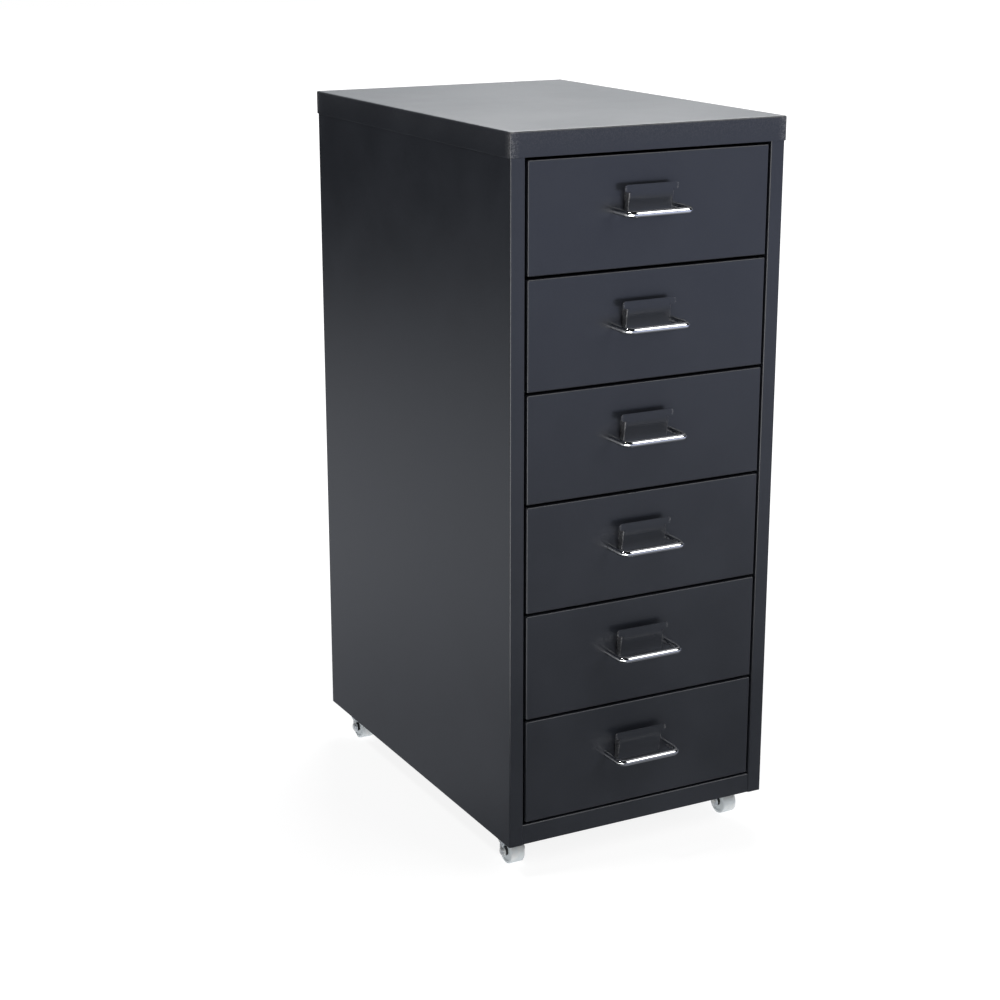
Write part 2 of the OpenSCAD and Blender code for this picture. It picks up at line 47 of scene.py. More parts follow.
# The camera stands to the front left of the cabinet and a little above it, as in the photograph:
# a short telephoto view with no roll, aimed a little below the middle of the carcass.
CAMERA_PLACE = Vector((-0.957, -1.720, 0.880))
CAMERA_TURN = 27.85
CAMERA_DIP = 16.5
LENS = 74.5
SENSOR = 36.0
CLIP_NEAR, CLIP_FAR = 0.05, 60.0


def sight_line(turn, dip):
    """Unit vector that looks turn degrees right of +Y and dip degrees down."""
    turn, dip = math.radians(turn), math.radians(dip)
    return Vector((math.sin(turn) * math.cos(dip), math.cos(turn) * math.cos(dip), -math.sin(dip)))


def point_along(thing, direction):
    """Turn a camera or a lamp to look along this direction, with its top upwards."""
    thing.rotation_mode = "QUATERNION"
    thing.rotation_quaternion = direction.to_track_quat("-Z", "Y")


def new_object(name, data):
    """An object with this camera, lamp or mesh, put into the scene."""
    made = bpy.data.objects.new(name, data)
    bpy.context.scene.collection.objects.link(made)
    return made


camera = new_object("camera", bpy.data.cameras.new("camera"))
bpy.context.scene.camera = camera
camera.data.lens, camera.data.sensor_width = LENS, SENSOR
camera.data.clip_start, camera.data.clip_end = CLIP_NEAR, CLIP_FAR
camera.location = CAMERA_PLACE
point_along(camera, sight_line(CAMERA_TURN, CAMERA_DIP))

# The floor under the casters: matt and pale, plain white where the camera looks at it, except for
# the soft shadow close round the casters. What it sends into reflections is painted light, a glow
# that changes with place as a lit studio floor would: a patch behind the cabinet's left side,
# light away in front of it, and a streak to the left front that puts painted highlights on the
# folds.
FLOOR_HALF = 14.0
FLOOR_PAINT, FLOOR_ROUGH = (0.86, 0.86, 0.86, 1), 0.9
FLOOR_WHITE = 1.24
SHADOW_NEAR, SHADOW_FAR, SHADOW_SHARE = 0.35, 0.95, 0.29
PATCH_NEAR, PATCH, PATCH_LEAST = 0.28, 0.51, 0.01
PATCH_RISE, PATCH_FADE = (0.15, 0.90), (1.2, 3.9)
PATCH_TINT = (0.94, 0.98, 1.06, 1)
FRONT_RIGHT = (0.448, -0.848, 0.0)
FRONT_LEVEL, FRONT_RISE, FRONT_LEAST = 0.41, 0.28, 0.14
FRONT_EDGE, FRONT_ASIDE, FRONT_SEAM = (0.50, 0.82), 0.1, (-0.15, 0.15)
FRONT_NEAR, FRONT_FAR = (0.93, 0.97, 1.07, 1), (0.82, 0.91, 1.27, 1)
FRONT_TINT_SPAN = (0.4, 3.5)
LEFT_FRONT = (-0.743, -0.669, 0.0)
STREAK, STREAK_START, STREAK_EDGE = 4.0, (0.5, 0.9), (0.85, 0.95)
BOUNCE_NEAR, BOUNCE, BOUNCE_SPAN = 0.80, 0.25, (0.2, 0.5)


def feed(tree, node, inputs):
    """Give a node's inputs their values: each is a constant or another node's output."""
    for name, value in inputs.items():
        if isinstance(value, bpy.types.NodeSocket):
            tree.links.new(value, node.inputs[name])
        else:
            node.inputs[name].default_value = value


def add(tree, kind, inputs=None, **settings):
    """A new shader node with these settings and inputs."""
    made = tree.nodes.new("ShaderNode" + kind)
    for name, value in settings.items():
        setattr(made, name, value)
    feed(tree, made, inputs or {})
    return made


def ramp(tree, value, start, end, low, high):
    """Value carried from start..end to low..high along a smooth step, flat outside."""
    return add(tree, "MapRange", {"Value": value, "From Min": start, "From Max": end,
                                  "To Min": low, "To Max": high},
               interpolation_type="SMOOTHSTEP").outputs["Result"]


def maths(tree, operation, *values):
    """One arithmetic operation on one, two or three values."""
    return add(tree, "Math", dict(enumerate(values)), operation=operation).outputs[0]


def share_along(tree, vector, direction):
    """How far a vector reaches along a unit direction: their dot product."""
    return add(tree, "VectorMath", {0: vector, 1: direction},
               operation="DOT_PRODUCT").outputs["Value"]


def blended(tree, share, one, two):
    """Colour one, with this share of colour two in its place."""
    return add(tree, "Mix", {0: share, 6: one, 7: two}, data_type="RGBA").outputs[2]


def mixed(tree, share, one, two):
    """Shader one, with this share of shader two in its place."""
    return add(tree, "MixShader", {0: share, 1: one, 2: two}).outputs[0]


def summed(tree, one, two):
    """The light of two shaders together."""
    return add(tree, "AddShader", {0: one, 1: two}).outputs[0]


def glowing(tree, strength, colour=(1, 1, 1, 1)):
    """A surface that sends out light of this strength and colour."""
    return add(tree, "Emission", {"Color": colour, "Strength": strength}).outputs[0]


def new_material(name):
    """A node material: itself, its node tree, its main shader and the Object coordinates."""
    mat = bpy.data.materials.new(name)
    mat.use_nodes = True
    tree = mat.node_tree
    return mat, tree, tree.nodes["Principled BSDF"], add(tree, "TexCoord").outputs["Object"]


def floor_material():
    """Matt paint with a weak glow for the light, as a floor lit from all round. For the camera a
    white glow takes most of the paint's place, and all of it away from the cabinet. Reflections
    see a glow: behind the cabinet it rises to a patch and fades again with distance r, and in
    front it rises as log2(r). A bright streak runs out to the left front, which only the folds
    that turn from the side to the front reflect."""
    mat, tree, matt, where = new_material("floor")
    feed(tree, matt, {"Base Color": FLOOR_PAINT, "Roughness": FLOOR_ROUGH})
    away = add(tree, "VectorMath", {0: where}, operation="LENGTH").outputs["Value"]
    heading = add(tree, "VectorMath", {0: where}, operation="NORMALIZE").outputs["Vector"]

    patch = maths(tree, "MULTIPLY", ramp(tree, away, *PATCH_RISE, PATCH_NEAR, PATCH),
                  ramp(tree, away, *PATCH_FADE, 1, PATCH_LEAST))
    front = maths(tree, "MULTIPLY_ADD", maths(tree, "LOGARITHM", away, 2.0), FRONT_RISE,
                  FRONT_LEVEL)
    front = maths(tree, "MULTIPLY", maths(tree, "MAXIMUM", front, FRONT_LEAST),
                  ramp(tree, share_along(tree, heading, FRONT_RIGHT), *FRONT_EDGE,
                       FRONT_ASIDE, 1))
    tint = blended(tree, ramp(tree, away, *FRONT_TINT_SPAN, 0, 1), FRONT_NEAR, FRONT_FAR)
    in_front = ramp(tree, share_along(tree, where, FRONT_RIGHT), *FRONT_SEAM, 0, 1)
    streak = maths(tree, "MULTIPLY", ramp(tree, away, *STREAK_START, 0, STREAK),
                   ramp(tree, share_along(tree, heading, LEFT_FRONT), *STREAK_EDGE, 0, 1))
    painted_reflection_glow = summed(tree, mixed(tree, in_front, glowing(tree, patch, PATCH_TINT),
                                   glowing(tree, front, tint)), glowing(tree, streak))

    # Its weak glow for all rays but camera and mirror rays is painted bounce light.
    lit = summed(tree, matt.outputs[0],
                 glowing(tree, ramp(tree, away, *BOUNCE_SPAN, BOUNCE_NEAR, BOUNCE)))
    white = ramp(tree, away, SHADOW_NEAR, SHADOW_FAR, 1 - SHADOW_SHARE, 1)
    seen = mixed(tree, white, matt.outputs[0], glowing(tree, FLOOR_WHITE))
    path = add(tree, "LightPath").outputs
    mirrored = maths(tree, "MAXIMUM", path["Is Glossy Ray"], path["Is Transmission Ray"])
    surface = mixed(tree, mirrored, mixed(tree, path["Is Camera Ray"], lit, seen), painted_reflection_glow)
    feed(tree, tree.nodes["Material Output"], {"Surface": surface})
    return mat


corners = [(-1, -1), (1, -1), (1, 1), (-1, 1)]
floor = new_object("floor", bpy.data.meshes.new("floor"))
floor.data.from_pydata([(x * FLOOR_HALF, y * FLOOR_HALF, 0) for x, y in corners], [], [range(4)])
floor.data.materials.append(floor_material())

# The light: a white room, bright at the right and behind, which lies along the cover as a broad
# sheen. A soft lamp hangs high at the front right, a narrow one stands at the left, one above it
# puts the line of shade under the skirt, and one behind draws the line along the cover's fold.
ROOM_BRIGHT_SIDE = (0.53, 0.85, 0.0)
ROOM_EDGE = (0.45, 0.85)
ROOM_LEVELS = (0.015, 0.58)
ROOM_TINT = (0.92, 0.975, 1.04, 1)


def room_world():
    """White for the camera; for all other rays the level rises towards the bright side."""
    world = bpy.data.worlds.new("studio")
    world.use_nodes = True
    tree = world.node_tree
    where = add(tree, "TexCoord").outputs["Generated"]
    side = share_along(tree, where, ROOM_BRIGHT_SIDE)
    dim = tree.nodes["Background"]
    feed(tree, dim, {"Color": ROOM_TINT, "Strength": ramp(tree, side, *ROOM_EDGE, *ROOM_LEVELS)})
    white = add(tree, "Background", {"Color": (1, 1, 1, 1), "Strength": 1.0})
    seen = add(tree, "LightPath").outputs["Is Camera Ray"]
    feed(tree, tree.nodes["World Output"],
         {"Surface": mixed(tree, seen, dim.outputs[0], white.outputs[0])})
    return world


def lamp(name, place, aim, width, height, radiance):
    """A rectangular soft lamp at place that looks at aim. Its watts are its radiance times pi
    times its area; it lights the object without being seen by the camera."""
    light = bpy.data.lights.new(name, "AREA")
    light.shape, light.size, light.size_y = "RECTANGLE", width, height
    light.energy = radiance * math.pi * width * height
    holder = new_object(name, light)
    holder.visible_camera = False
    holder.location = place
    point_along(holder, Vector(aim) - Vector(place))


bpy.context.scene.world = room_world()
lamp("front_right", place=(1.5, -2.0, 2.3), aim=(0, 0, 0.45), width=2.1, height=2.1, radiance=3.4)
lamp("left_strip", place=(-2.05, -1.95, 0.70), aim=(0, 0, 0.4), width=0.4, height=1.4,
     radiance=5.0)
lamp("left_high", place=(-2.2, 0.2, 4.2), aim=(0, 0, 0.5), width=0.5, height=0.5, radiance=60.0)
lamp("back_right", place=(1.6, 2.4, 2.75), aim=(0, 0, 0.68), width=1.6, height=1.4, radiance=9.0)

# Cover: one sheet folded down on all four sides, its corners welded and ground, powder-coated
# satin anthracite. It drops over the panels, and its skirt stands proud of them all round.
MM = 0.001
SHEET = 0.8 * MM
FOLD, FOLD_STEPS = 1.4 * MM, 7
CUT_EDGE, EDGE_STEPS, CUT_TURN = 0.2 * MM, 2, 50
MERGE, SLIVER = 1e-6, 1e-7
COVER_RUB = 8 * MM
FOLD_WEAR, CORNER_WEAR = 0.12, 0.70
PAINT_THIN = (0.0265, 0.0295, 0.0375, 1)
PAINT_FULL = (0.0205, 0.0230, 0.0295, 1)
# The pale grey below is wear on the cover and the drawer faces, and a painted highlight on the
# label holders.
PAINT_WEAR_AND_HIGHLIGHT = (0.20, 0.20, 0.205, 1)
PAINT_IOR, PAINT_ROUGH, WORN_ROUGHER = 1.52, (0.29, 0.32), 0.1
CLOUDS, CLOUD_EDGE = 14, (0.3, 0.7)
FLECKS, FLECK_DEPTH, FLECK_STRENGTH, FLECK_WORN = 1500, 0.15 * MM, 0.1, 0.5
PEEL, PEEL_DEPTH, PEEL_STRENGTH = 620, 0.25 * MM, 0.16
TONE_CLOUD, TONE_FLECK, TONE_EDGE = 0.6, 0.4, (0.35, 0.65)
WEAR_AND_HIGHLIGHT_EDGE, WEAR_AND_HIGHLIGHT_LEAST = (0.46, 0.58), 0.05


def shell(name, grids, rubs=None, sharp=35):
    """A mesh object from grids of points (rows, columns, xyz): each cell is one quad. Points that
    fall together are merged, so seams and poles are closed, and faces are turned outwards.
    rubs gives a number for each point, stored as the attribute rub."""
    points = np.concatenate([grid.reshape(-1, 3) for grid in grids])
    start = np.cumsum([0] + [grid.shape[0] * grid.shape[1] for grid in grids])
    cells = [first + np.arange(grid.shape[0] * grid.shape[1]).reshape(grid.shape[:2])
             for first, grid in zip(start, grids)]
    quads = np.concatenate([
        np.stack([k[:-1, :-1], k[:-1, 1:], k[1:, 1:], k[1:, :-1]], -1).reshape(-1, 4)
        for k in cells])
    mesh = bpy.data.meshes.new(name)
    mesh.from_pydata(points.tolist(), [], quads.tolist())
    rub = mesh.attributes.new("rub", "FLOAT", "POINT")
    if rubs is not None:
        rub.data.foreach_set("value", np.concatenate([r.reshape(-1) for r in rubs]).astype("f"))
    work = bmesh.new()
    work.from_mesh(mesh)
    bmesh.ops.remove_doubles(work, verts=work.verts, dist=MERGE)
    bmesh.ops.dissolve_degenerate(work, edges=work.edges, dist=SLIVER)
    bmesh.ops.recalc_face_normals(work, faces=work.faces)
    work.to_mesh(mesh)
    work.free()
    mesh.shade_smooth()
    mesh.set_sharp_from_angle(angle=math.radians(sharp))
    return new_object(name, mesh)


def folded_pan(half_w, half_d, depth, fold, rub):
    """Grid of a shallow pan about the origin, open below: round the outline goes the column, and
    from the middle over the fold and down the skirt goes the row. At inset e the outline is a
    rectangle with corner radius fold - e; over the fold, e = fold (1 - sin a) and the drop is
    fold (1 - cos a). Returns the points and how much each is rubbed, which fades out over the
    distance rub beside the folds and corners."""
    a = np.radians(np.linspace(0, 90, FOLD_STEPS))
    inset = np.concatenate([[max(half_w, half_d), fold + rub], fold * (1 - np.sin(a)), [0]])
    drop = np.concatenate([[0, 0], fold * (1 - np.cos(a)), [depth]])
    row = np.arange(len(inset))[:, None]

    # Each corner has its arc, and one more column on each side of it, at the distance rub.
    quarter = np.radians(np.concatenate([[0], np.linspace(0, 90, FOLD_STEPS), [90]]))
    closed = np.append(np.arange(4 * len(quarter)), 0)
    angle = (np.radians([[0], [90], [180], [270]]) + quarter).reshape(-1)[closed]
    slide = np.tile(np.concatenate([[-rub], np.zeros(FOLD_STEPS), [rub]]), 4)[closed]
    sign_x = np.repeat([1, -1, -1, 1], len(quarter))[closed]
    sign_y = np.repeat([1, 1, -1, -1], len(quarter))[closed]

    centre_inset = np.maximum(inset, fold)[:, None]
    radius = np.maximum(fold - inset, 0)[:, None]
    shift = slide * (row > 0)
    x = (sign_x * np.maximum(half_w - centre_inset, 0) + radius * np.cos(angle)
         - shift * np.sin(angle))
    y = (sign_y * np.maximum(half_d - centre_inset, 0) + radius * np.sin(angle)
         + shift * np.cos(angle))
    x[0], y[0] = 0, 0
    z = np.broadcast_to(depth - drop[:, None], x.shape)
    on_fold = (row >= 2) & (row < len(inset) - 1)
    at_corner = (row >= 2) & (slide == 0)
    return np.stack([x, y, z], -1), FOLD_WEAR * on_fold + CORNER_WEAR * at_corner


def round_off(piece, width, angle):
    """Round the edges that turn by more than this angle, and keep the flat faces flat."""
    soft = piece.modifiers.new("rounded_edges", "BEVEL")
    soft.width, soft.segments, soft.limit_method = width, EDGE_STEPS, "ANGLE"
    soft.angle_limit = math.radians(angle)
    return piece.modifiers.new("flat_faces", "WEIGHTED_NORMAL")


def thicken(piece, thickness, edge):
    """Sheet thickness added inwards, and every cut edge rounded off."""
    wall = piece.modifiers.new("thickness", "SOLIDIFY")
    wall.thickness, wall.offset, wall.use_even_offset = thickness, -1, True
    round_off(piece, edge, CUT_TURN).keep_sharp = True
    return piece


def fix(piece, body, slot, material, *replaced):
    """Give a piece its finish and its body, and let it stand for the CAD nodes it replaces."""
    piece.data.materials.clear()
    piece.data.materials.append(material)
    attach(piece, body)
    if replaced:
        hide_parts(*replaced)


def noise(tree, where, scale, detail):
    """Cloudy noise with about this many clouds in a metre, from 0 to 1."""
    return add(tree, "TexNoise", {"Vector": where, "Scale": scale,
                                  "Detail": detail}).outputs["Fac"]


def relief(tree, height, strength, depth, **under):
    """The normal of a surface that height times depth raises, over the relief under it."""
    return add(tree, "Bump", {"Strength": strength, "Distance": depth, "Height": height,
                              **under}).outputs[0]


def rub_attribute(tree):
    """How much each point of the surface is rubbed: wear on paint, dust on plastic, and a painted
    highlight on the label holders.
    """
    return add(tree, "Attribute", attribute_name="rub").outputs["Fac"]


def paint_material():
    """Powder coat: two close tones in slow clouds and fine flecks, and an orange-peel relief.
    Where the attribute rub is high the coat is rubbed through in flecks to its pale key, and
    rougher:
    wear at the cover's and the drawer faces' folds and corners, and a painted highlight on the
    label holders."""
    mat, tree, coat, where = new_material("painted_steel")
    cloud = noise(tree, where, CLOUDS, 3)
    fleck = noise(tree, where, FLECKS, 2)
    peel = noise(tree, where, PEEL, 2)
    rub = rub_attribute(tree)
    tone = maths(tree, "MULTIPLY_ADD", cloud, TONE_CLOUD,
                 maths(tree, "MULTIPLY", fleck, TONE_FLECK))
    colour = blended(tree, ramp(tree, tone, *TONE_EDGE, 0, 1), PAINT_FULL, PAINT_THIN)
    patchy = maths(tree, "MULTIPLY_ADD", peel, 0.5, maths(tree, "MULTIPLY", fleck, 0.5))
    # Pale flecks where rub is high: wear, and on the label holders a painted highlight.
    wear_and_highlight = maths(tree, "MULTIPLY", rub, ramp(tree, patchy, *WEAR_AND_HIGHLIGHT_EDGE, WEAR_AND_HIGHLIGHT_LEAST, 1))
    rough = maths(tree, "MULTIPLY_ADD", wear_and_highlight, WORN_ROUGHER,
                  ramp(tree, cloud, *CLOUD_EDGE, *PAINT_ROUGH))
    orange_peel = relief(tree, peel, PEEL_STRENGTH, PEEL_DEPTH)
    strength = maths(tree, "MULTIPLY_ADD", rub, FLECK_WORN, FLECK_STRENGTH)
    surface = relief(tree, fleck, strength, FLECK_DEPTH, Normal=orange_peel)
    feed(tree, coat, {"IOR": PAINT_IOR, "Base Color": blended(tree, wear_and_highlight, colour, PAINT_WEAR_AND_HIGHLIGHT),
                      "Roughness": rough, "Normal": surface})
    return mat


painted = paint_material()
low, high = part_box("top_cover")
middle = (low + high) / 2
pan, rub = folded_pan((high.x - low.x) / 2, (high.y - low.y) / 2, high.z - low.z, FOLD, COVER_RUB)
cover = shell("top_cover_sheet", [pan + [middle.x, middle.y, low.z]], [rub])
fix(thicken(cover, SHEET, CUT_EDGE), "cabinet", "painted_steel", painted, "top_cover")

# Carcass under the cover: side panels folded round to the front posts and the rear flanges, the
# back pan, the base pan, two rails and the runner channels, spot-welded and painted together.
# Blind rivets hold the back, each with a low dome round the hole that its pin broke off in.
PANELS = ("left_side_panel", "right_side_panel", "back_panel", "base_pan", "bottom_rail",
          "top_rail")
RIVETS = 5
RIVET_HEAD, RIVET_SHANK, RIVET_TAIL = 4 * MM, 2 * MM, 3 * MM
DOME, DOME_STEPS = 0.9 * MM, 8
GRIP = 2 * SHEET
PIN_HOLE, PIN_BOTTOM = 1.1 * MM, 0.1 * MM
HOLE_LIP, HOLE_FOOT = 0.9 * PIN_HOLE, 0.8 * PIN_HOLE
RING = 49
PRESSED_TURN, FLAT_TURN = 40, 1


def turned(centre, along, radius, axis):
    """Surface of revolution through centre about the axis numbered 0 or 1: the profile (along,
    radius) is carried round, with radius cos a and radius sin a on the other two axes."""
    a = np.linspace(0, 2 * np.pi, RING)
    parts = [radius[:, None] * np.cos(a), radius[:, None] * np.sin(a)]
    parts.insert(axis, np.broadcast_to(along[:, None], (len(along), RING)))
    return np.stack(parts, -1) + np.array(centre)


def softened(name, node, width):
    """A copy of a CAD node with its triangles joined up and its pressed edges rounded."""
    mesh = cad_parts[node].data.copy()
    work = bmesh.new()
    work.from_mesh(mesh)
    bmesh.ops.remove_doubles(work, verts=work.verts, dist=MERGE)
    bmesh.ops.dissolve_limit(work, angle_limit=math.radians(FLAT_TURN), verts=work.verts,
                             edges=work.edges)
    work.to_mesh(mesh)
    work.free()
    mesh.shade_smooth()
    piece = new_object(name, mesh)
    round_off(piece, width, PRESSED_TURN)
    return piece


def finish_node(material, *names):
    """Put a finish on CAD nodes whose own shape is kept."""
    for name in names:
        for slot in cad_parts[name].material_slots:
            slot.material = material


finish_node(painted, "left_runners", "right_runners")
for name in PANELS:
    fix(softened(f"{name}_sheet", name, CUT_EDGE), "cabinet", "painted_steel", painted, name)

low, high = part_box("back_rivets")
back = high.y - DOME
a = np.linspace(0, 1, DOME_STEPS) * np.pi / 2
tail = low.y - back
along = np.concatenate([[tail, tail, -GRIP, -GRIP, 0], DOME * np.sin(a),
                        [DOME, PIN_BOTTOM, PIN_BOTTOM]])
radius = np.concatenate([[0, RIVET_TAIL, RIVET_TAIL, RIVET_SHANK, RIVET_SHANK],
                         PIN_HOLE + (RIVET_HEAD - PIN_HOLE) * np.cos(a),
                         [HOLE_LIP, HOLE_FOOT, 0]])
rivets = shell("back_rivet_heads", [
    turned((x, back, z), along, radius, 1)
    for x in (low.x + RIVET_HEAD, high.x - RIVET_HEAD)
    for z in np.linspace(low.z + RIVET_HEAD, high.z - RIVET_HEAD, RIVETS)])
fix(rivets, "cabinet", "painted_steel", painted, "back_rivets")

# Drawers: a folded pan in front, with a tray of thinner sheet behind it, all painted alike.
# The face is flush in the opening, and the tray's hooked lips hang in the runner channels.
DRAWERS = range(1, 7)
FACE_FOLD, FACE_RUB, FACE_WEAR = 1.0 * MM, 1.2 * MM, 0.2

for i in DRAWERS:
    low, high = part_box(f"drawer_{i}_front")
    middle = (low + high) / 2
    pan, rub = folded_pan((high.x - low.x) / 2, (high.z - low.z) / 2, high.y - low.y, FACE_FOLD,
                          FACE_RUB)
    place = np.stack([pan[..., 0] + middle.x, high.y - pan[..., 2], pan[..., 1] + middle.z], -1)
    face = shell(f"drawer_{i}_face", [place], [FACE_WEAR * rub])
    fix(thicken(face, SHEET, CUT_EDGE), f"drawer_{i}", "painted_steel", painted,
        f"drawer_{i}_front")
    tray = softened(f"drawer_{i}_tray_sheet", f"drawer_{i}_tray", CUT_EDGE)
    fix(tray, f"drawer_{i}", "painted_steel", painted, f"drawer_{i}_tray")

# Label holders: a T-shaped plate of thin sheet that leans out towards its wide upper band, with
# two flanges and a ledge folded back, and tongues that pass through the front. Painted with it;
# the flanges and the band's ends carry a pale painted highlight through the attribute rub.
HOLDER_SHEET, HOLDER_EDGE = 0.8 * MM, 0.3 * MM
HOLDER_FOLD, HOLDER_STEPS, HOLDER_ROWS = 1.8 * MM, 6, 17
FOOT_UP = HOLDER_FOLD * 1.001
EAR = 4.2 * MM
BAND, BAND_CORNER = 6.5 * MM, 2.4 * MM
PLATE_OUT = 5.4 * MM
LEAN, LEAN_FROM, LEAN_TO = 2.6 * MM, 1.8 * MM, 22 * MM
SLIT = 0.5 * MM
TONGUE_HIGH, TONGUE_LONG = 8 * MM, 1.6 * MM
FLANGE_HIGHLIGHT, FLANGE_SHARE = 0.7, 0.6


def rounded_path(points, radius, steps):
    """Polyline (..., n, 2) with each inner corner turned into an arc of this radius: the arc's
    centre lies on the corner's bisector, radius / sin(half the corner's angle) away from it."""
    corner = points[..., 1:-1, :]
    back = points[..., :-2, :] - corner
    ahead = points[..., 2:, :] - corner
    back = back / np.linalg.norm(back, axis=-1, keepdims=True)
    ahead = ahead / np.linalg.norm(ahead, axis=-1, keepdims=True)
    half = np.arccos(np.clip((back * ahead).sum(-1, keepdims=True), -1, 1)) / 2
    bisector = (back + ahead) / np.linalg.norm(back + ahead, axis=-1, keepdims=True)
    centre = corner + bisector * radius / np.sin(half)
    first = corner + back * radius / np.tan(half) - centre
    last = corner + ahead * radius / np.tan(half) - centre
    sweep = np.pi - 2 * half
    share = np.linspace(0, 1, steps)[:, None]
    one, two, whole = first[..., None, :], last[..., None, :], sweep[..., None, :]
    arc = (np.sin((1 - share) * whole) * one + np.sin(share * whole) * two) / np.sin(whole)
    arcs = (centre[..., None, :] + arc).reshape(*points.shape[:-2], -1, 2)
    return np.concatenate([points[..., :1, :], arcs, points[..., -1:, :]], -2)


def holder_grids(middle_x, face_y, foot, width, height):
    """Sheets of one label holder. The plate's face lies PLATE_OUT + LEAN (1 - cos(pi s)) / 2 in
    front of the drawer, where s runs from 0 to 1 between LEAN_FROM and LEAN_TO. A U-shaped
    section with flanges is carried up it, and the band spreads beyond it on both sides. The
    band's corners are rounded by BAND_CORNER (sqrt(1 - b b / 2) - 1) each way, where b runs
    from 0 to 1 over the other side's corner."""
    plate = width / 2 - EAR
    top = height - BAND

    def out(z):
        share = np.clip((z - LEAN_FROM) / (LEAN_TO - LEAN_FROM), 0, 1)
        return PLATE_OUT + LEAN * (1 - np.cos(np.pi * share)) / 2

    def place(x, y, z):
        return np.stack(np.broadcast_arrays(middle_x + x, face_y - y, foot + z), -1)

    def near_end(x):
        return np.clip((np.abs(x) - (width / 2 - BAND_CORNER)) / BAND_CORNER, 0, 1)

    z = np.linspace(HOLDER_FOLD, top - SLIT, HOLDER_ROWS)
    side, wall = np.full_like(z, plate), np.zeros_like(z)
    section = np.stack([np.stack([-side, wall], -1), np.stack([-side, out(z)], -1),
                        np.stack([side, out(z)], -1), np.stack([side, wall], -1)], 1)
    path = rounded_path(section, HOLDER_FOLD, HOLDER_STEPS)
    plate_grid = place(path[..., 0], path[..., 1], z[:, None])

    flat = np.array([HOLDER_FOLD - plate, plate - HOLDER_FOLD])
    neck_z = np.array([top - SLIT, top])[:, None]
    neck = place(flat, out(neck_z), neck_z)
    ledge = np.array([[0.0, 0.0], [PLATE_OUT, 0.0], [PLATE_OUT, FOOT_UP]])
    ledge = rounded_path(ledge, HOLDER_FOLD, HOLDER_STEPS)
    ledge = place(flat, ledge[:, :1], ledge[:, 1:])

    ends = np.linspace(0, BAND_CORNER, HOLDER_STEPS)
    x = np.concatenate([-width / 2 + ends, flat, width / 2 - ends[::-1]])
    z = np.concatenate([top + ends, height - ends[::-1]])
    a = np.sign(x) * near_end(x)
    b = (np.clip((z - (height - BAND_CORNER)) / BAND_CORNER, 0, 1)
         - np.clip((top + BAND_CORNER - z) / BAND_CORNER, 0, 1))[:, None]
    x = x + BAND_CORNER * a * (np.sqrt(1 - b * b / 2) - 1)
    z = z[:, None] + BAND_CORNER * b * (np.sqrt(1 - a * a / 2) - 1)
    band = place(x, out(z), z)

    tongue = top / 2 + np.array([-TONGUE_HIGH, TONGUE_HIGH])[:, None] / 2
    tongues = [place(end, np.array([0, -TONGUE_LONG]), tongue) for end in (-plate, plate)]
    # The pale grey on the flanges and at the band's ends is a painted highlight, not wear.
    flange_highlight = np.abs(path[..., 0]) > plate - FLANGE_SHARE * HOLDER_FOLD
    rubs = [FLANGE_HIGHLIGHT * flange_highlight, np.zeros(neck.shape[:2]), np.zeros(ledge.shape[:2]),
            near_end(x)] + [np.zeros(grid.shape[:2]) for grid in tongues]
    return [plate_grid, neck, ledge, band] + tongues, rubs


for i in DRAWERS:
    low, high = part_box(f"drawer_{i}_label_holder")
    face_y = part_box(f"drawer_{i}_front")[0].y
    holder = shell(f"drawer_{i}_card_plate", *holder_grids(
        (low.x + high.x) / 2, face_y, low.z, high.x - low.x, high.z - low.z))
    fix(thicken(holder, HOLDER_SHEET, HOLDER_EDGE), f"drawer_{i}", "painted_steel", painted,
        f"drawer_{i}_label_holder")

# Pulls: round steel wire bent to a U, its ends faced off and tapped, then polished and chromed.
# Two zinc-plated screws from inside the drawer hold each one.
PULL_BEND, PULL_STEPS, PULL_RING = 7 * MM, 14, 25
CHAMFER = 0.35 * MM
CHROME_DARK, CHROME_BRIGHT = (0.80, 0.81, 0.83, 1), (0.88, 0.88, 0.89, 1)
CHROME_CLOUDS, CHROME_ROUGH = 90, (0.05, 0.13)
SCRATCHES, SCRATCH_EDGE = (60, 900, 900), (0.35, 0.7)
SCRATCH_STRENGTH, SCRATCH_DEPTH = 0.04, 0.05 * MM
ZINC_BLUE, ZINC_YELLOW = (0.82, 0.86, 0.90, 1), (0.89, 0.90, 0.88, 1)
ZINC_CLOUDS, ZINC_TONE_EDGE = 160, (0.35, 0.65)
ZINC_BRIGHT_EDGE, ZINC_METALLIC = (0.3, 0.7), (0.65, 0.35)
ZINC_BLOOM_EDGE, ZINC_ROUGH = (0.3, 0.75), (0.28, 0.46)
ZINC_GRAIN, GRAIN_STRENGTH, GRAIN_DEPTH = 2400, 0.12, 0.05 * MM


